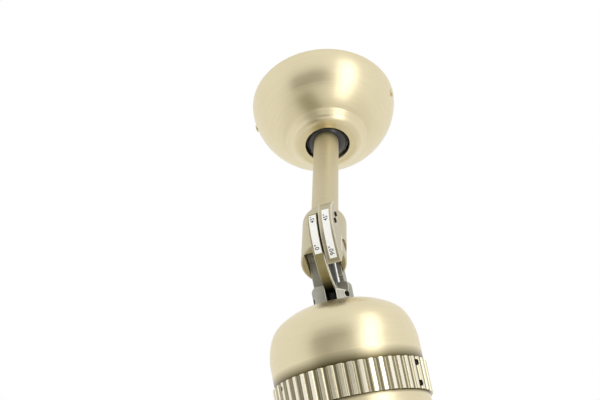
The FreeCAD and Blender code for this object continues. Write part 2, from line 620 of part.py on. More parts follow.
def make_end_plate():
    # A cast plate over the stator that holds the upper bearing and carries the stem.
    dome_room = DOME_RADIUS * DOME_RADIUS_SHARES[-1] - DOME_WALL - BODY_GAP
    plate = tube(STATOR_OUTER, STATOR_OUTER - STATOR_YOKE, STATOR_TOP, -BAND_TOP + END_PLATE_THICKNESS)
    plate = plate.fuse(tube(dome_room, STATOR_OUTER - STATOR_YOKE, STATOR_TOP, END_PLATE_TOP))
    plate = plate.fuse(tube(dome_room, SHAFT_STEP_RADIUS + BODY_GAP, END_PLATE_LOW, END_PLATE_TOP))
    plate = plate.fuse(tube(END_BOSS_RADIUS, STEM_BORE, END_PLATE_LOW, END_BOSS_TOP))
    pocket = tube(BEARING_RADIUS, 0, END_PLATE_LOW - CUT_OVERRUN, UPPER_BEARING_TOP)
    save("motor_end_plate", [plate.cut(pocket).removeSplitter()], on_head)
    bore = SHAFT_RADIUS + RUN_GAP
    save("upper_bearing", [tube(BEARING_RADIUS, bore, END_PLATE_LOW, UPPER_BEARING_TOP)], on_head)
    save("lower_bearing", [tube(BEARING_RADIUS, bore, LOWER_BEARING_LOW, SHELL_BOSS_TOP)], on_head)


def make_stem():
    # A hollow stem from the end plate up into the collar, with a flange under the dome's crown.
    flange = -DOME_TOP - DOME_WALL
    stem = tube(STEM_RADIUS, STEM_BORE, END_BOSS_TOP, STEM_TOP)
    stem = stem.fuse(tube(STEM_FLANGE_RADIUS, STEM_BORE, flange - STEM_FLANGE, flange))
    save("motor_stem", [stem.removeSplitter()], on_head)


def make_rotor():
    # An iron core on a stepped shaft that turns in the two bearings and comes out below.
    core = tube(STATOR_INNER - ROTOR_AIR_GAP, SHAFT_STEP_RADIUS, STATOR_LOW, STATOR_TOP)
    save("rotor_core", [core], on_head)
    shaft = tube(SHAFT_RADIUS, 0, SHAFT_LOW, UPPER_BEARING_TOP - BODY_GAP)
    shaft = shaft.fuse(tube(SHAFT_STEP_RADIUS, 0, SHELL_BOSS_TOP + BODY_GAP, END_PLATE_LOW - BODY_GAP))
    save("rotor_shaft", [shaft.removeSplitter()], on_head)


def make_hub():
    # A turned disc with three bosses that take the round feet of the blade arms.
    hub = tube(HUB_RADIUS, 0, HUB_LOW, HUB_TOP)
    cuts = [tube(SHAFT_RADIUS + RUN_GAP, 0, HUB_LOW - CUT_OVERRUN, HUB_TOP + CUT_OVERRUN)]
    boss = bar(Y * -1, HUB_BOSS_RADIUS, HUB_BOSS_REACH, at(0, 0, HUB_LEVEL))
    room = bar(Y * -1, ARM_RADIUS + RUN_GAP, HUB_BOSS_REACH, at(0, -ARM_SEAT, HUB_LEVEL))
    grub = arm_grub()
    grubs = []
    for angle in around(BLADE_COUNT):
        turn = angle + ROTOR_PHASE_ANGLE
        hub = hub.fuse(turned(boss, turn))
        grubs.append(turned(grub, turn))
        cuts.append(turned(room, turn))
    save("blade_hub", [hub.cut(cuts + grubs).removeSplitter()], on_head)
    save("arm_screws", grubs, on_head)
    nut = hexagon(NUT_FLATS, NUT_HEIGHT, Z * -1, at(0, 0, HUB_LOW))
    save("hub_nut", [nut.cut(tube(SHAFT_RADIUS, 0, SHAFT_LOW - CUT_OVERRUN, HUB_LOW))], on_head)


def arm_grub():
    sink = ARM_RADIUS / 2
    length = HUB_BOSS_RADIUS - sink
    return bar(Z * -1, ARM_SCREW_RADIUS, length, at(0, -ARM_SCREW_PLACE, HUB_LEVEL - sink))


def rounded_plate(corners, rounds, rise):
    """A flat plate through the corners, each rounded by its radius."""
    edges = []
    ends = []
    for before, here, after, radius in zip(corners[-1:] + corners, corners, corners[1:] + corners[:1], rounds):
        back = (before - here).normalize()
        on = (after - here).normalize()
        half = math.acos(back.dot(on)) / 2
        start = here + back * (radius / math.tan(half))
        end = here + on * (radius / math.tan(half))
        middle = here + (back + on).normalize() * (radius / math.sin(half) - radius)
        edges.append(Part.Arc(start, middle, end).toShape())
        ends.append((start, end))
    for here, after in zip(ends, ends[1:] + ends[:1]):
        edges.append(Part.LineSegment(here[1], after[0]).toShape())
    return Part.Face(Part.Wire(Part.__sortEdges__(edges))).extrude(Z * rise)


def pitched(shape):
    moved = turned(shape, BLADE_PITCH_ANGLE, Y)
    moved.translate(at(0, 0, HUB_LEVEL))
    return moved


def make_blades():
    # Each arm is a round foot with a flat palm, and each blade is screwed under its palm.
    half = ARM_PALM_WIDTH / 2
    palm = rounded_plate([at(-half, -ARM_PALM_START, 0), at(half, -ARM_PALM_START, 0),
                          at(half, -ARM_PALM_END, 0), at(-half, -ARM_PALM_END, 0)],
                         [ARM_PALM_ROUND] * 4, ARM_PALM_THICKNESS)
    root = BLADE_ROOT_WIDTH / 2
    tip = BLADE_TIP_WIDTH / 2
    blade = rounded_plate([at(-root, -BLADE_START, 0), at(root, -BLADE_START, 0),
                           at(tip, -BLADE_TIP, 0), at(-tip, -BLADE_TIP, 0)],
                          [BLADE_ROOT_ROUND] * 2 + [BLADE_TIP_ROUND] * 2, -BLADE_THICKNESS)
    screws = []
    for side, reach in ((-1, BLADE_SCREW_NEAR), (1, BLADE_SCREW_NEAR), (0, BLADE_SCREW_FAR)):
        start = at(side * BLADE_SCREW_SIDE, -reach, -BLADE_THICKNESS)
        shank = bar(Z, BLADE_SCREW_RADIUS, BLADE_THICKNESS + ARM_PALM_THICKNESS, start)
        screws.append(shank.fuse(bar(Z * -1, BLADE_SCREW_HEAD_RADIUS, BLADE_SCREW_HEAD, start)))
    foot = bar(Y * -1, ARM_RADIUS, BLADE_START - ARM_SEAT - BODY_GAP, at(0, -ARM_SEAT, HUB_LEVEL))
    arm = pitched(palm.cut(screws)).fuse(foot).cut(arm_grub())
    placed_screws = []
    for number, angle in enumerate(around(BLADE_COUNT), 1):
        turn = angle + ROTOR_PHASE_ANGLE
        save("blade_arm_" + str(number), [turned(arm, turn)], on_head)
        save("blade_" + str(number), [turned(pitched(blade.cut(screws)), turn)], on_head)
        placed_screws += [turned(pitched(screw), turn) for screw in screws]
    save("blade_screws", placed_screws, on_head)


def cap_profile(inset):
    radius = HUB_RADIUS - CAP_INSET - inset
    height = CAP_HEIGHT - inset
    sphere = (radius * radius + height * height) / (2 * height)
    half = math.asin(radius / sphere) / 2
    middle = (sphere * math.sin(half), HUB_LOW - height + sphere * (1 - math.cos(half)))
    return (radius, HUB_LOW), middle, (0, HUB_LOW - height)


def make_cap():
    # A shallow spun dome over the nut.
    o = cap_profile(0)
    i = cap_profile(CAP_WALL)
    save("hub_cap", [revolve([arc(*o), line(o[2], i[2]), arc(*i[::-1]), line(i[0], o[0])])], on_head)


os.makedirs("parts", exist_ok=True)
make_bracket()
make_liner()
make_canopy()
make_ball()
make_rod()
make_clevis()
make_fixed_quadrant()
make_pivot()
make_yoke()
make_dome()
make_band()
make_shell()
make_stator()
make_end_plate()
make_stem()
make_rotor()
make_hub()
make_blades()
make_cap()
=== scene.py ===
import json
import math

import bpy
from mathutils import Matrix, Vector


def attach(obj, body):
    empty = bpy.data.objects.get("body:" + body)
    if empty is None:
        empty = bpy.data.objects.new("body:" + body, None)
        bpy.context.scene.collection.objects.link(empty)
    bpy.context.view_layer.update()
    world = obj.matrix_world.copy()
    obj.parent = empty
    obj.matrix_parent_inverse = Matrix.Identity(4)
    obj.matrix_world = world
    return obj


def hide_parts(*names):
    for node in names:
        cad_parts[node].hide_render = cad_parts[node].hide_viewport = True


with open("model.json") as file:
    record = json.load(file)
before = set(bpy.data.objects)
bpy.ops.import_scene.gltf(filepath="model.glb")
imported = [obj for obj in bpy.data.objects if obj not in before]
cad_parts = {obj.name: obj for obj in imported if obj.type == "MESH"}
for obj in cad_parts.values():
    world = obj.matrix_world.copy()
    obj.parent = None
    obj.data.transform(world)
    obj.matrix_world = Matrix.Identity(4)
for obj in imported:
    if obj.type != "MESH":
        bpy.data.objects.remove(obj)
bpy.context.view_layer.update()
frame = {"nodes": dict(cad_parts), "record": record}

nodes = frame["nodes"]

# The canopy is a spun steel bell, brushed on the lathe and plated in a warm nickel.
# It hides the ceiling bracket and is held to it by two screws near its rim.
# Its brush marks run round the bell, so the grain follows height and radius, not the angle.
NICKEL_COLOUR = (0.80, 0.715, 0.485)
NICKEL_DEEP = (0.68, 0.60, 0.395)
NICKEL_EDGE = 0.0006
CANOPY_ROUGHNESS = (0.28, 0.38)
LATHE_LINES = 2600.0
LATHE_WANDER = 2.5
LATHE_DETAIL = 4.0
LATHE_BUMP = 0.10
LATHE_SHARE = 0.7
HAZE_SCALE = 14.0
HAZE_DETAIL = 3.0
BUMP_DEPTH = 0.0002
RAMP_ENDS = (0.3, 0.7)


def material_graph(name):
    made = bpy.data.materials.new(name)
    made.use_nodes = True
    return made, made.node_tree, made.node_tree.nodes["Principled BSDF"]


def piece_coordinates(tree, centre=(0, 0, 0), turn=0.0):
    """Object coordinates moved to a piece's centre and turned about X so that Z is its axis."""
    source = tree.nodes.new("ShaderNodeTexCoord")
    place = tree.nodes.new("ShaderNodeMapping")
    place.vector_type = 'TEXTURE'
    place.inputs["Location"].default_value = centre
    place.inputs["Rotation"].default_value = (turn, 0, 0)
    tree.links.new(source.outputs["Object"], place.inputs["Vector"])
    return place.outputs["Vector"]


def split(tree, vector):
    parts = tree.nodes.new("ShaderNodeSeparateXYZ")
    tree.links.new(vector, parts.inputs[0])
    return parts.outputs


def maths(tree, operation, *values):
    node = tree.nodes.new("ShaderNodeMath")
    node.operation = operation
    for socket, value in zip(node.inputs, values):
        if isinstance(value, (int, float)):
            socket.default_value = value
        else:
            tree.links.new(value, socket)
    return node.outputs[0]


def distance(tree, first, second):
    """How far a place is from an axis, by its two coordinates across it."""
    squares = [maths(tree, 'MULTIPLY', side, side) for side in (first, second)]
    return maths(tree, 'SQRT', maths(tree, 'ADD', *squares))


def noise(tree, vector, scale, detail):
    node = tree.nodes.new("ShaderNodeTexNoise")
    node.inputs["Scale"].default_value = scale
    node.inputs["Detail"].default_value = detail
    tree.links.new(vector, node.inputs["Vector"])
    return node.outputs["Fac"]


def ramp(tree, value, colour_low, colour_high):
    node = tree.nodes.new("ShaderNodeValToRGB")
    for element, position, colour in zip(node.color_ramp.elements, RAMP_ENDS, (colour_low, colour_high)):
        element.position = position
        element.color = (*colour, 1)
    tree.links.new(value, node.inputs["Fac"])
    return node.outputs["Color"]


def rescale(tree, value, low, high, start=0.0, end=1.0):
    """From low where the value is at its start to high where it is at its end."""
    node = tree.nodes.new("ShaderNodeMapRange")
    node.inputs["From Min"].default_value = start
    node.inputs["From Max"].default_value = end
    node.inputs["To Min"].default_value = low
    node.inputs["To Max"].default_value = high
    tree.links.new(value, node.inputs["Value"])
    return node.outputs["Result"]


def bump(tree, value, strength, edge):
    """A fine skin on the surface, with the sharp edges eased by this radius."""
    eased = tree.nodes.new("ShaderNodeBevel")
    eased.inputs["Radius"].default_value = edge
    node = tree.nodes.new("ShaderNodeBump")
    node.inputs["Strength"].default_value = strength
    node.inputs["Distance"].default_value = BUMP_DEPTH
    tree.links.new(value, node.inputs["Height"])
    tree.links.new(eased.outputs["Normal"], node.inputs["Normal"])
    return node.outputs["Normal"]


def lathe_grain(tree, place, fineness):
    """Fine rings round the piece's Z axis, as a brushing wheel leaves on a turning piece."""
    x, y, z = split(tree, place)
    angle = maths(tree, 'ARCTAN2', y, x)
    join = tree.nodes.new("ShaderNodeCombineXYZ")
    tree.links.new(maths(tree, 'MULTIPLY', distance(tree, x, y), fineness), join.inputs[0])
    tree.links.new(maths(tree, 'MULTIPLY', z, fineness), join.inputs[1])
    tree.links.new(maths(tree, 'MULTIPLY', maths(tree, 'SINE', angle), LATHE_WANDER), join.inputs[2])
    return noise(tree, join.outputs[0], 1.0, LATHE_DETAIL)


def brushed_nickel(name, centre, turn, roughness, fineness=LATHE_LINES, shade=1.0, edge=NICKEL_EDGE):
    made, tree, shader = material_graph(name)
    place = piece_coordinates(tree, centre, turn)
    grain = lathe_grain(tree, place, fineness)
    haze = noise(tree, place, HAZE_SCALE, HAZE_DETAIL)
    mixed = maths(tree, 'ADD', maths(tree, 'MULTIPLY', grain, LATHE_SHARE),
                  maths(tree, 'MULTIPLY', haze, 1.0 - LATHE_SHARE))
    deep = tuple(shade * part for part in NICKEL_DEEP)
    light = tuple(shade * part for part in NICKEL_COLOUR)
    tree.links.new(ramp(tree, mixed, deep, light), shader.inputs["Base Color"])
    tree.links.new(rescale(tree, mixed, *roughness), shader.inputs["Roughness"])
    tree.links.new(bump(tree, grain, LATHE_BUMP, edge), shader.inputs["Normal"])
    shader.inputs["Metallic"].default_value = 1.0
    return made


def dress(made, *names):
    for name in names:
        for slot in nodes[name].material_slots:
            slot.material = made


canopy_nickel = brushed_nickel("nickel_canopy", (0, 0, 0), 0.0, CANOPY_ROUGHNESS)
dress(canopy_nickel, "canopy")

# The canopy's two screws are plated pan heads with a hexagon socket, driven through the bell into the bracket.
# Each is turned from bar: a head, a shank drawn out below it, and a socket pressed into its face.
CANOPY_HEAD_RADIUS = 0.004
CANOPY_HEAD = 0.0018
CANOPY_SHANK_RADIUS = 0.002
CANOPY_SHANK = 0.009
SOCKET_SHARE = 0.5
SOCKET_DEPTH_SHARE = 0.55
HEAD_EDGE_SHARE = 0.14
SCREW_SIDES = 24
SCREW_SMOOTH_ANGLE = math.radians(35)
HALF_FLAT_ANGLE = math.pi / 6
FACING_SHARE = 0.9
LEVEL_GAP = 0.00001
SAME_FACE_SHARE = 0.999
HEAD_AREA_GAP = 0.08


def pick_faces(piece, direction):
    """Back to edit mode with only the faces that look this way along Z selected."""
    bpy.ops.object.mode_set(mode='EDIT')
    bpy.ops.mesh.select_mode(type='FACE')
    bpy.ops.mesh.select_all(action='DESELECT')
    bpy.ops.object.mode_set(mode='OBJECT')
    end = max(direction * face.center.z for face in piece.data.polygons)
    for face in piece.data.polygons:
        at_end = direction * face.center.z > end - LEVEL_GAP
        face.select = at_end and direction * face.normal.z > FACING_SHARE
    bpy.ops.object.mode_set(mode='EDIT')


def socket_screw(head_radius, head, shank_radius, shank):
    """A screw along Z with its face at zero."""
    bpy.ops.object.select_all(action='DESELECT')
    bpy.ops.mesh.primitive_cylinder_add(vertices=SCREW_SIDES, radius=head_radius, depth=head,
                                        location=(0, 0, -head / 2))
    screw = bpy.context.active_object
    bpy.ops.object.transform_apply(location=True, rotation=False, scale=False)
    pick_faces(screw, -1)
    bpy.ops.mesh.inset(thickness=head_radius - shank_radius)
    bpy.ops.mesh.extrude_region_move(TRANSFORM_OT_translate={"value": (0, 0, -shank)})
    pick_faces(screw, 1)
    bpy.ops.mesh.inset(thickness=head_radius * HEAD_EDGE_SHARE, depth=0)
    bpy.ops.mesh.inset(thickness=head_radius * (1 - HEAD_EDGE_SHARE - SOCKET_SHARE), depth=0)
    bpy.ops.object.mode_set(mode='OBJECT')
    edge_start = head_radius * (1 - HEAD_EDGE_SHARE / 2)
    socket_end = head_radius * (SOCKET_SHARE + HEAD_EDGE_SHARE / 2)
    for point in screw.data.vertices:
        if point.co.z < -head / 4:
            continue
        reach = math.hypot(point.co.x, point.co.y)
        if reach > edge_start:
            point.co.z -= head_radius * HEAD_EDGE_SHARE
        elif reach < socket_end:
            turn = math.atan2(point.co.y, point.co.x) % (2 * HALF_FLAT_ANGLE) - HALF_FLAT_ANGLE
            flat = math.cos(HALF_FLAT_ANGLE) / math.cos(turn)
            point.co.x *= flat
            point.co.y *= flat
    bpy.ops.object.mode_set(mode='EDIT')
    bpy.ops.mesh.extrude_region_move(TRANSFORM_OT_translate={"value": (0, 0, -head * SOCKET_DEPTH_SHARE)})
    bpy.ops.object.mode_set(mode='OBJECT')
    return screw


def head_faces(name, radius):
    """The middle and direction of each flat round face of this radius on a CAD node."""
    found = []
    for face in nodes[name].data.polygons:
        for spot in found:
            near = (spot[0] / spot[2] - face.center).length < 2 * radius
            if near and spot[1].dot(face.normal) > SAME_FACE_SHARE:
                spot[0] += face.center * face.area
                spot[2] += face.area
                break
        else:
            found.append([face.center * face.area, face.normal.copy(), face.area])
    disc = math.pi * radius * radius
    return [(total / area, normal) for total, normal, area in found if abs(area / disc - 1) < HEAD_AREA_GAP]


def drive_screws(name, body, made, head_radius, head, shank_radius, shank):
    """One screw of this kind in the place of each of the node's screws."""
    pattern = socket_screw(head_radius, head, shank_radius, shank)
    pattern.data.materials.append(made)
    copies = []
    for middle, normal in head_faces(name, head_radius):
        bpy.ops.object.select_all(action='DESELECT')
        pattern.select_set(True)
        bpy.context.view_layer.objects.active = pattern
        bpy.ops.object.duplicate()
        copy = bpy.context.active_object
        facing = normal.to_track_quat('Z', 'Y').to_matrix().to_4x4()
        copy.matrix_world = Matrix.Translation(middle) @ facing
        copies.append(copy)
    bpy.data.objects.remove(pattern)
    bpy.ops.object.select_all(action='DESELECT')
    for copy in copies:
        copy.select_set(True)
    bpy.context.view_layer.objects.active = copies[0]
    bpy.ops.object.join()
    bpy.ops.object.transform_apply(location=True, rotation=True, scale=True)
    bpy.ops.object.shade_smooth_by_angle(angle=SCREW_SMOOTH_ANGLE)
    joined = bpy.context.active_object
    joined.name = name + "_driven"
    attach(joined, body)
    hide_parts(name)


drive_screws("canopy_screws", "ceiling_mount", canopy_nickel,
             CANOPY_HEAD_RADIUS, CANOPY_HEAD, CANOPY_SHANK_RADIUS, CANOPY_SHANK)

# The bracket, the pins, the bearings and the hidden shafts are zinc plated or ground steel.
# They are bent from strip or turned, and their plating is dull and a little cloudy.
ZINC_COLOUR = (0.62, 0.61, 0.57)
ZINC_DEEP = (0.46, 0.45, 0.42)
ZINC_ROUGHNESS = (0.30, 0.48)
ZINC_CLOUD = 60.0
CLOUD_DETAIL = 5.0
FINE_TO_CLOUD = 18.0
FINE_DETAIL = 2.0
FINE_BUMP = 0.15
PLAIN_EDGE = 0.0004


def cloudy_metal(name, colour, deep, roughness, scale):
    made, tree, shader = material_graph(name)
    place = piece_coordinates(tree)
    cloud = noise(tree, place, scale, CLOUD_DETAIL)
    fine = noise(tree, place, scale * FINE_TO_CLOUD, FINE_DETAIL)
    tree.links.new(ramp(tree, cloud, deep, colour), shader.inputs["Base Color"])
    tree.links.new(rescale(tree, fine, *roughness), shader.inputs["Roughness"])
    tree.links.new(bump(tree, fine, FINE_BUMP, PLAIN_EDGE), shader.inputs["Normal"])
    shader.inputs["Metallic"].default_value = 1.0
    return made


zinc = cloudy_metal("zinc_steel", ZINC_COLOUR, ZINC_DEEP, ZINC_ROUGHNESS, ZINC_CLOUD)
dress(zinc, "hanger_bracket", "ball_cross_pin", "rotor_shaft", "hub_nut", "upper_bearing", "lower_bearing")

# The hanger ball is a glossy black nylon moulding on a dull rubber liner in the bracket's seat.
# Both are moulded with a fine grain, and the ball carries the rod's weight.
BLACK_COLOUR = (0.014, 0.014, 0.013)
BLACK_WORN = (0.035, 0.034, 0.032)
NYLON_ROUGHNESS = (0.08, 0.20)
RUBBER_ROUGHNESS = (0.65, 0.85)
SKIN_SCALE = 900.0
SKIN_DETAIL = 2.0
SKIN_BUMP = 0.25
WEAR_SCALE = 45.0
WEAR_DETAIL = 4.0


def moulded_black(name, roughness):
    made, tree, shader = material_graph(name)
    place = piece_coordinates(tree)
    skin = noise(tree, place, SKIN_SCALE, SKIN_DETAIL)
    wear = noise(tree, place, WEAR_SCALE, WEAR_DETAIL)
    tree.links.new(ramp(tree, wear, BLACK_COLOUR, BLACK_WORN), shader.inputs["Base Color"])
    tree.links.new(rescale(tree, skin, *roughness), shader.inputs["Roughness"])
    tree.links.new(bump(tree, skin, SKIN_BUMP, PLAIN_EDGE), shader.inputs["Normal"])
    return made


dress(moulded_black("black_nylon", NYLON_ROUGHNESS), "hanger_ball")
dress(moulded_black("black_rubber", RUBBER_ROUGHNESS), "socket_liner")

# The rod is a drawn steel tube in the same nickel, more satin than the bell, its colour darkened as painted shade.
# It passes up through the ball, leans as the fan hangs, and seats in the clevis below.
SATIN_ROUGHNESS = (0.42, 0.55)
ROD_LINES = 1800.0
ROD_PAINTED_SHADE = 0.82
joints = {joint["name"]: joint for joint in frame["record"]["behaviour"]["joints"]}
ball = Vector(joints["hanger_swing"]["pos_m"])
pivot = Vector(joints["knuckle_tilt"]["pos_m"])
rod_turn = math.atan2(pivot.y - ball.y, ball.z - pivot.z)
dress(brushed_nickel("nickel_rod", ball, rod_turn, SATIN_ROUGHNESS, ROD_LINES, ROD_PAINTED_SHADE), "downrod")

# The clevis is a turned sleeve in the same nickel, darkened as painted shade, slotted for the yoke and fixed to
# the rod by set screws.
# The pivot bolt and its nut lie sunk in its two cheeks.
CLEVIS_ROUGHNESS = (0.34, 0.48)
CLEVIS_LINES = 2200.0
CLEVIS_PAINTED_SHADE = 0.74
dress(brushed_nickel("nickel_clevis", pivot, rod_turn, CLEVIS_ROUGHNESS, CLEVIS_LINES, CLEVIS_PAINTED_SHADE),
      "knuckle_clevis", "pivot_bolt", "pivot_nut")

# The fixed quadrant is a plated block screwed to the front of the right cheek, satin like the clevis, its nickel
# darkened further as painted shade.
# It is milled from bar, and its edges carry a painted highlight.
QUADRANT_EDGE = 0.0012
QUADRANT_EDGE_HIGHLIGHT = 0.0032
QUADRANT_LINES = 1600.0
QUADRANT_PAINTED_SHADE = 0.66
# The bright colour below is a painted highlight, laid on sharp edges, the rib's side and the band's crests.
PAINTED_HIGHLIGHT = (0.90, 0.87, 0.76)
EDGE_HIGHLIGHT_RANGE = (0.80, 0.97)


def blend(tree, share, without, full):
    """One colour where the share is none and another where it is full."""
    node = tree.nodes.new("ShaderNodeMix")
    node.data_type = 'RGBA'
    tree.links.new(share, node.inputs[0])
    for socket, colour in ((node.inputs[6], without), (node.inputs[7], full)):
        if isinstance(colour, tuple):
            socket.default_value = (*colour, 1)
        else:
            tree.links.new(colour, socket)
    return node.outputs[2]


def tint(made, share, colour):
    """Lay this colour over a finish where the share is full."""
    tree = made.node_tree
    base = tree.nodes["Principled BSDF"].inputs["Base Color"]
    tree.links.new(blend(tree, share, base.links[0].from_socket, colour), base)


def paint_edge_highlight(made, width):
    """Paint a highlight along the sharp edges of a finish, over this width."""
    tree = made.node_tree
    eased = tree.nodes.new("ShaderNodeBevel")
    eased.inputs["Radius"].default_value = width
    flat = tree.nodes.new("ShaderNodeNewGeometry")
    match = tree.nodes.new("ShaderNodeVectorMath")
    match.operation = 'DOT_PRODUCT'
    tree.links.new(eased.outputs["Normal"], match.inputs[0])
    tree.links.new(flat.outputs["Normal"], match.inputs[1])
    tint(made, rescale(tree, match.outputs["Value"], 1.0, 0.0, *EDGE_HIGHLIGHT_RANGE), PAINTED_HIGHLIGHT)


quadrant_nickel = brushed_nickel("nickel_quadrant", pivot, rod_turn, CLEVIS_ROUGHNESS,
                                 QUADRANT_LINES, QUADRANT_PAINTED_SHADE, QUADRANT_EDGE)
paint_edge_highlight(quadrant_nickel, QUADRANT_EDGE_HIGHLIGHT)
dress(quadrant_nickel, "fixed_quadrant")

# The yoke and the motor's end plate are grey alloy castings, tumbled smooth, a little lighter on worn places.
# The rim of the yoke's rib carries a painted dark-gold reflection, and its side below the scale a painted
# highlight.
# The rib has painted shade at its foot, beside the scale and on the web, where little light falls.
ALLOY_COLOUR = (0.46, 0.445, 0.385)
ALLOY_DEEP = (0.34, 0.33, 0.28)
ALLOY_ROUGHNESS = (0.46, 0.60)
ALLOY_CLOUD = 90.0
YOKE_EDGE_HIGHLIGHT = 0.0016
RIM_PAINTED_REFLECTION = (0.44, 0.385, 0.20)
RIM_PAINTED_REFLECTION_DEEP = (0.34, 0.295, 0.150)
RIM_START = 0.0408
RIM_MIDDLE = 0.0013
RIM_HALF = 0.00472
RIB_PAINTED_SHADE = (0.030, 0.028, 0.020)
FOOT_FADE = (-0.0390, -0.0290)
WEB_PAINTED_SHADE = (0.13, 0.127, 0.115)
MARGIN_START = 0.0050
MARGIN_FADE = (-0.0170, -0.0110)
RIB_SIDE = 0.0060
RIB_SIDE_GAP = 0.0002
SIDE_START = 0.0375
SIDE_FADE = (-0.0120, -0.0040)
motor_axis = Vector(joints["rotor_spin"]["axis"])
motor_turn = math.atan2(motor_axis.y, -motor_axis.z)
alloy = cloudy_metal("cast_alloy", ALLOY_COLOUR, ALLOY_DEEP, ALLOY_ROUGHNESS, ALLOY_CLOUD)
dress(alloy, "motor_end_plate")
yoke_alloy = cloudy_metal("cast_yoke", ALLOY_COLOUR, ALLOY_DEEP, ALLOY_ROUGHNESS, ALLOY_CLOUD)
tree = yoke_alloy.node_tree
place = piece_coordinates(tree, pivot, motor_turn)
x, y, z = split(tree, place)
reach = distance(tree, y, z)
front = maths(tree, 'MULTIPLY', maths(tree, 'COMPARE', x, RIM_MIDDLE, RIM_HALF), maths(tree, 'LESS_THAN', y, 0.0))
rim = maths(tree, 'MULTIPLY', maths(tree, 'GREATER_THAN', reach, RIM_START), front)
# The rim's dark gold is a painted reflection.
tint(yoke_alloy, rim, ramp(tree, noise(tree, place, ALLOY_CLOUD, CLOUD_DETAIL), RIM_PAINTED_REFLECTION_DEEP, RIM_PAINTED_REFLECTION))
# The rib's side: a painted highlight below the scale, painted shade above it and on the web.
below_scale = maths(tree, 'MULTIPLY', maths(tree, 'GREATER_THAN', reach, SIDE_START),
                    rescale(tree, z, 1.0, 0.0, *SIDE_FADE))
side = maths(tree, 'COMPARE', x, RIB_SIDE, RIB_SIDE_GAP)
tint(yoke_alloy, side, blend(tree, below_scale, WEB_PAINTED_SHADE, PAINTED_HIGHLIGHT))
# A painted highlight along the yoke's sharp edges.
paint_edge_highlight(yoke_alloy, YOKE_EDGE_HIGHLIGHT)
# Painted shade at the rib's foot.
tint(yoke_alloy, maths(tree, 'MULTIPLY', rim, rescale(tree, z, 1.0, 0.0, *FOOT_FADE)), RIB_PAINTED_SHADE)
# Beside the scale the rim's margin has painted shade, turning to a painted highlight lower down.
margin = maths(tree, 'MULTIPLY', rim, maths(tree, 'GREATER_THAN', x, MARGIN_START))
tint(yoke_alloy, margin, blend(tree, rescale(tree, z, 1.0, 0.0, *MARGIN_FADE), RIB_PAINTED_SHADE, PAINTED_HIGHLIGHT))
dress(yoke_alloy, "tilt_yoke")

# The bush in the yoke is a short sleeve of turned bronze, pressed into its bore.
# It runs on the pivot bolt, so that the yoke tilts without play.
BRONZE_COLOUR = (0.60, 0.40, 0.18)
BRONZE_DEEP = (0.45, 0.29, 0.12)
BRONZE_ROUGHNESS = (0.25, 0.40)
BRONZE_CLOUD = 80.0
dress(cloudy_metal("turned_bronze", BRONZE_COLOUR, BRONZE_DEEP, BRONZE_ROUGHNESS, BRONZE_CLOUD), "yoke_bush")

# The scale labels are white printed film, stuck round the two rims.
# The figures are printed across the strip and read upwards: 0 to 45 on the yoke, 45 to 90 on the quadrant.
FILM_WHITE = (0.93, 0.93, 0.90)
FILM_SHADE = (0.86, 0.86, 0.82)
FILM_FIBRE = 500.0
INK_COLOUR = (0.02, 0.02, 0.025)
INK_WORN = (0.06, 0.06, 0.065)
INK_FIBRE = 900.0
INK_LIFT = 0.00006
FIBRE_DETAIL = 4.0
PRINT_ROUGHNESS = (0.4, 0.6)
LABEL_RADIUS = 0.0423
FIGURE_SIZE = 0.0054
FIGURE_BOLD = 0.00008
FIGURE_SPACING = 1.15
FIXED_MIDDLE = 0.0132
FIXED_FIGURES = (("45°", 17.0), ("90°", 61.5))
TILT_MIDDLE = 0.0013
TILT_FIGURES = (("45°", -29.5), ("0°", 8.5))


def printed(name, colour, worn, scale):
    made, tree, shader = material_graph(name)
    fibre = noise(tree, piece_coordinates(tree), scale, FIBRE_DETAIL)
    tree.links.new(ramp(tree, fibre, worn, colour), shader.inputs["Base Color"])
    tree.links.new(rescale(tree, fibre, *PRINT_ROUGHNESS), shader.inputs["Roughness"])
    return made


def figure(words, angle, middle, turn, body):
    """A printed figure bent round the rim: along the text goes up the rim, its top points to -X."""
    bpy.ops.object.select_all(action='DESELECT')
    bpy.ops.object.text_add()
    text = bpy.context.active_object
    text.name = "figure_" + body + "_" + words.rstrip("°")
    text.data.body = words
    text.data.size = FIGURE_SIZE
    text.data.offset = FIGURE_BOLD
    text.data.space_character = FIGURE_SPACING
    text.data.align_x = 'CENTER'
    text.data.align_y = 'CENTER'
    bpy.ops.object.convert(target='MESH')
    place = Matrix.Translation(pivot) @ Matrix.Rotation(turn, 4, 'X')
    radius = LABEL_RADIUS + INK_LIFT
    for point in text.data.vertices:
        bend = math.radians(angle) - point.co.x / LABEL_RADIUS
        point.co = place @ Vector((middle - point.co.y, -radius * math.cos(bend), -radius * math.sin(bend)))
    text.data.materials.append(ink)
    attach(text, body)


film = printed("label_film", FILM_WHITE, FILM_SHADE, FILM_FIBRE)
ink = printed("label_ink", INK_COLOUR, INK_WORN, INK_FIBRE)
dress(film, "scale_label_fixed", "scale_label_tilt")
for words, angle in FIXED_FIGURES:
    figure(words, angle, FIXED_MIDDLE, rod_turn, "rod")
for words, angle in TILT_FIGURES:
    figure(words, angle, TILT_MIDDLE, motor_turn, "motor_head")

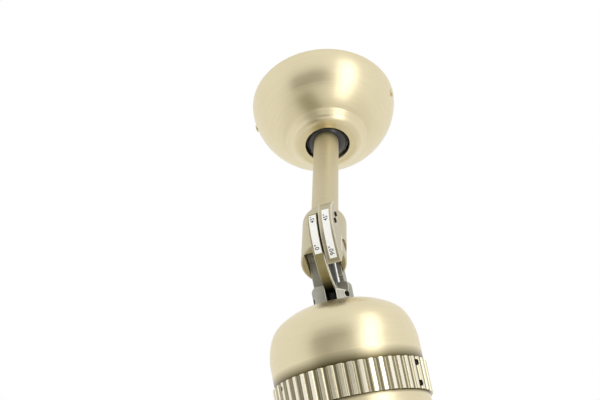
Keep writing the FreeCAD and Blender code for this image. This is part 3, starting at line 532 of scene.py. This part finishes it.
# The set screws, quadrant screws and band screws are blackened steel, sunk in dark holes.
# They are turned with a hexagon socket, and hold the ball, the clevis, the collar, the quadrant and the band.
# The hollow stem under the collar is dressed in the same black, as painted shade in the collar's slot.
BLACK_STEEL_AND_SLOT_SHADE = (0.050, 0.048, 0.045)
BLACK_STEEL_AND_SLOT_SHADE_DEEP = (0.020, 0.020, 0.019)
BLACK_STEEL_ROUGHNESS = (0.35, 0.55)
BLACK_STEEL_CLOUD = 120.0
QUADRANT_HEAD_RADIUS = 0.0034
QUADRANT_HEAD = 0.0022
QUADRANT_SHANK_RADIUS = 0.0022
QUADRANT_SHANK = 0.0023
BAND_HEAD_RADIUS = 0.0026
BAND_HEAD = 0.0010
BAND_SHANK_RADIUS = 0.0016
BAND_SHANK = 0.0009
black_steel_and_slot_shade = cloudy_metal("blackened_steel_and_slot_shade", BLACK_STEEL_AND_SLOT_SHADE, BLACK_STEEL_AND_SLOT_SHADE_DEEP, BLACK_STEEL_ROUGHNESS,
                           BLACK_STEEL_CLOUD)
# On the motor stem this black is painted shade in the collar's slot.
dress(black_steel_and_slot_shade, "ball_set_screw", "clevis_set_screws", "collar_set_screws", "motor_stem")
drive_screws("quadrant_screws", "rod", black_steel_and_slot_shade,
             QUADRANT_HEAD_RADIUS, QUADRANT_HEAD, QUADRANT_SHANK_RADIUS, QUADRANT_SHANK)
drive_screws("band_screws", "motor_head", black_steel_and_slot_shade,
             BAND_HEAD_RADIUS, BAND_HEAD, BAND_SHANK_RADIUS, BAND_SHANK)

# The motor covers are spun steel like the canopy, turned and brushed about the motor's own axis.
# The dome sits on the fluted band and the lower shell hangs below it, each with its edge tucked in.
# Both carry painted shade at these tucks, where they turn in towards the band.
DOME_ROUGHNESS = (0.29, 0.39)
DOME_LINES = 6000.0
TUCK_PAINTED_SHADE = (0.105, 0.082, 0.030)
DOME_TUCK = (-0.1158, -0.1055)
SHELL_TUCK = (-0.1446, -0.1475)
for name, tuck in (("upper_dome", DOME_TUCK), ("lower_shell", SHELL_TUCK)):
    cover_nickel = brushed_nickel("nickel_" + name, pivot, motor_turn, DOME_ROUGHNESS, DOME_LINES)
    tree = cover_nickel.node_tree
    along = split(tree, piece_coordinates(tree, pivot, motor_turn))["Z"]
    # Painted shade towards each tuck.
    tint(cover_nickel, rescale(tree, along, 1.0, 0.0, *tuck), TUCK_PAINTED_SHADE)
    dress(cover_nickel, name)

# The fluted band is a ring cut from thicker tube, with its flutes milled along the motor's axis.
# Its hollows carry painted shade, and its crests a painted highlight.
BAND_ROUGHNESS = (0.16, 0.26)
HOLLOW_PAINTED_SHADE = (0.24, 0.215, 0.140)
FLUTE_HOLLOW = 0.0668
FLUTE_CREST = 0.0682
CREST_EDGE = 0.0685
band_nickel = brushed_nickel("nickel_band", pivot, motor_turn, BAND_ROUGHNESS)
tree = band_nickel.node_tree
across = distance(tree, *split(tree, piece_coordinates(tree, pivot, motor_turn))[:2])
# Painted shade in the flutes' hollows.
tint(band_nickel, rescale(tree, across, 1.0, 0.0, FLUTE_HOLLOW, FLUTE_CREST), HOLLOW_PAINTED_SHADE)
# A painted highlight on the flutes' crests.
tint(band_nickel, rescale(tree, across, 0.0, 1.0, FLUTE_CREST, CREST_EDGE), PAINTED_HIGHLIGHT)
dress(band_nickel, "fluted_band")

# The motor inside has a stator of stacked iron sheets on the stem and a rotor core on the shaft.
# Its coil heads are wound from varnished copper wire on both faces of the stator.
IRON_COLOUR = (0.22, 0.22, 0.22)
IRON_DEEP = (0.14, 0.14, 0.14)
IRON_ROUGHNESS = (0.5, 0.7)
IRON_CLOUD = 70.0
COPPER_COLOUR = (0.62, 0.26, 0.10)
COPPER_DEEP = (0.45, 0.17, 0.06)
COPPER_ROUGHNESS = (0.3, 0.5)
COPPER_CLOUD = 150.0
dress(cloudy_metal("motor_iron", IRON_COLOUR, IRON_DEEP, IRON_ROUGHNESS, IRON_CLOUD), "stator_core", "rotor_core")
dress(cloudy_metal("copper_winding", COPPER_COLOUR, COPPER_DEEP, COPPER_ROUGHNESS, COPPER_CLOUD), "stator_winding")

# The hub and its cap are turned steel and the blade arms pressed steel, in the same nickel as the covers.
# Plain zinc plated screws hold the arms to the hub and the blades to the arms.
HUB_LINES = 2400.0
BLADE_HEAD_RADIUS = 0.0040
BLADE_HEAD = 0.0018
BLADE_SHANK_RADIUS = 0.0020
BLADE_SHANK = 0.0085
dress(brushed_nickel("nickel_hub", pivot, motor_turn, DOME_ROUGHNESS, HUB_LINES),
      "blade_hub", "hub_cap", "blade_arm_1", "blade_arm_2", "blade_arm_3")
dress(zinc, "arm_screws")
drive_screws("blade_screws", "rotor", zinc, BLADE_HEAD_RADIUS, BLADE_HEAD, BLADE_SHANK_RADIUS, BLADE_SHANK)

# The three blades are flat mouldings, screwed to their arms at a steady pitch.
# They have a satin silver-gold lacquer, rubbed round the hub.
BLADE_LINES = 900.0
dress(brushed_nickel("blade_lacquer", pivot, motor_turn, SATIN_ROUGHNESS, BLADE_LINES),
      "blade_1", "blade_2", "blade_3")

# The stage is a pale matt floor far below the fan, laid as one long sheet.
# It runs out in front, and behind and beside the fan it ends where the white backdrop begins.
FLOOR_LEVEL = -4.0
FLOOR_WIDTH = 16.0
FLOOR_LENGTH = 48.0
FLOOR_MIDDLE = -16.0
FLOOR_COLOUR = (0.90, 0.89, 0.86)
FLOOR_WORN = (0.86, 0.85, 0.82)
FLOOR_ROUGHNESS = 0.9
SCUFF_SCALE = 3.0
SCUFF_DETAIL = 3.0
bpy.ops.object.select_all(action='DESELECT')
bpy.ops.mesh.primitive_plane_add(size=1, location=(0, FLOOR_MIDDLE, FLOOR_LEVEL))
floor = bpy.context.active_object
floor.name = "floor"
floor.scale = (FLOOR_WIDTH, FLOOR_LENGTH, 1)
bpy.ops.object.transform_apply(location=True, rotation=True, scale=True)
floor_paint, tree, shader = material_graph("pale_floor")
scuff = noise(tree, piece_coordinates(tree), SCUFF_SCALE, SCUFF_DETAIL)
tree.links.new(ramp(tree, scuff, FLOOR_WORN, FLOOR_COLOUR), shader.inputs["Base Color"])
shader.inputs["Roughness"].default_value = FLOOR_ROUGHNESS
floor.data.materials.append(floor_paint)

# The room is a white backdrop all round, as the camera and the metal see it.
# Its soft light comes from behind, beside and above the fan, and less of it from the camera's side.
ROOM_LIGHT = 0.38
BESIDE = (0.05, 0.75)
BEHIND = (-0.1, 0.5)
ABOVE = (-0.1, 0.7)
world = bpy.data.worlds.new("white_room")
bpy.context.scene.world = world
world.use_nodes = True
tree = world.node_tree
direction = tree.nodes.new("ShaderNodeTexCoord")
x, y, z = split(tree, direction.outputs["Generated"])


def backdrop(value, start, end):
    """The share of white backdrop, from none at start to full at end."""
    share = tree.nodes.new("ShaderNodeMapRange")
    share.interpolation_type = 'SMOOTHSTEP'
    share.inputs["From Min"].default_value = start
    share.inputs["From Max"].default_value = end
    tree.links.new(value, share.inputs["Value"])
    return share.outputs[0]


around = maths(tree, 'MAXIMUM', backdrop(maths(tree, 'ABSOLUTE', x), *BESIDE), backdrop(y, *BEHIND))
white = maths(tree, 'MAXIMUM', around, backdrop(z, *ABOVE))
path = tree.nodes.new("ShaderNodeLightPath")
reflected = maths(tree, 'MAXIMUM', path.outputs["Is Glossy Ray"], path.outputs["Is Transmission Ray"])
seen = maths(tree, 'MAXIMUM', path.outputs["Is Camera Ray"], reflected)
background = tree.nodes["Background"]
background.inputs["Color"].default_value = (1, 1, 1, 1)
tree.links.new(rescale(tree, maths(tree, 'MAXIMUM', white, seen), ROOM_LIGHT, 1.0), background.inputs["Strength"])

# One tall soft lamp stands to the right of the fan and a little in front, like a window.
# It lays the bright streak down the right side of the round pieces.
WINDOW_PLACE = Vector((1.54, -1.25, -0.6))
WINDOW_AIM = Vector((0, 0, -0.3))
WINDOW_WIDTH = 0.85
WINDOW_HEIGHT = 3.0
WINDOW_POWER = 13.0
bpy.ops.object.light_add(type='AREA', location=WINDOW_PLACE)
window = bpy.context.active_object
window.name = "right_window"
window.data.shape = 'RECTANGLE'
window.data.size = WINDOW_WIDTH
window.data.size_y = WINDOW_HEIGHT
window.data.energy = WINDOW_POWER
window.rotation_euler = (WINDOW_AIM - WINDOW_PLACE).to_track_quat('-Z', 'Y').to_euler()

# Two felt boards stand near the camera as backdrops and show only in the metal, as darker parts of a room do.
# The olive one gives the canopy its dark patch above the neck.
# The grey one, further off and higher, gives the dome and the bell their broad soft shade.
OLIVE_PLACE = Vector((-0.50, -1.05, -1.65))
OLIVE_SIZE = (1.0, 1.5)
OLIVE_FELT = (0.215, 0.195, 0.115)
OLIVE_WORN = (0.255, 0.23, 0.14)
GREY_PLACE = Vector((-0.3, -3.0, -0.7))
GREY_SIZE = (3.6, 1.5)
GREY_FELT = (0.34, 0.33, 0.29)
GREY_WORN = (0.39, 0.38, 0.34)
BOARD_THICKNESS = 0.01
FELT_FIBRE = 40.0


def felt_board(name, place, size, colour, worn):
    """A thin board that faces the hanger ball, seen by glossy rays alone."""
    bpy.ops.object.select_all(action='DESELECT')
    bpy.ops.mesh.primitive_plane_add(size=1)
    board = bpy.context.active_object
    board.name = name
    bpy.ops.object.mode_set(mode='EDIT')
    bpy.ops.transform.resize(value=(*size, 1))
    bpy.ops.mesh.extrude_region_move(TRANSFORM_OT_translate={"value": (0, 0, BOARD_THICKNESS)})
    bpy.ops.object.mode_set(mode='OBJECT')
    board.rotation_euler = (ball - place).to_track_quat('Z', 'Y').to_euler()
    board.location = place
    bpy.ops.object.transform_apply(location=True, rotation=True, scale=True)
    board.data.materials.append(printed(name + "_felt", colour, worn, FELT_FIBRE))
    board.visible_camera = False
    board.visible_diffuse = False
    board.visible_transmission = False
    board.visible_shadow = False


felt_board("olive_board", OLIVE_PLACE, OLIVE_SIZE, OLIVE_FELT, OLIVE_WORN)
felt_board("grey_board", GREY_PLACE, GREY_SIZE, GREY_FELT, GREY_WORN)

# The camera stands below the fan, a little to the right, and looks up at it with a long lens.
# It is rolled a few degrees, and the rotor lies below the picture's lower edge.
CAMERA_LENS = 90.0
CAMERA_SENSOR = 36.0
CAMERA_FAR_END = 50.0
CAMERA_AZIMUTH = math.radians(13.130)
CAMERA_ELEVATION = math.radians(-46.740)
CAMERA_ROLL = math.radians(-4.642)
CAMERA_DISTANCE = 1.4981
CAMERA_AIM = Vector((-0.03265, -0.00599, -0.14233))
backward = Vector((math.sin(CAMERA_AZIMUTH) * math.cos(CAMERA_ELEVATION),
                   -math.cos(CAMERA_AZIMUTH) * math.cos(CAMERA_ELEVATION),
                   math.sin(CAMERA_ELEVATION)))
level = Vector((0, 0, 1)).cross(backward).normalized()
upward = backward.cross(level)
right = level * math.cos(CAMERA_ROLL) + upward * math.sin(CAMERA_ROLL)
up = upward * math.cos(CAMERA_ROLL) - level * math.sin(CAMERA_ROLL)
bpy.ops.object.camera_add()
camera = bpy.context.active_object
camera.data.lens = CAMERA_LENS
camera.data.sensor_width = CAMERA_SENSOR
camera.data.clip_end = CAMERA_FAR_END
facing = Matrix((right, up, backward)).transposed()
camera.matrix_world = Matrix.Translation(CAMERA_AIM + backward * CAMERA_DISTANCE) @ facing.to_4x4()
bpy.context.scene.camera = camera
bpy.context.scene.view_settings.view_transform = 'Standard'
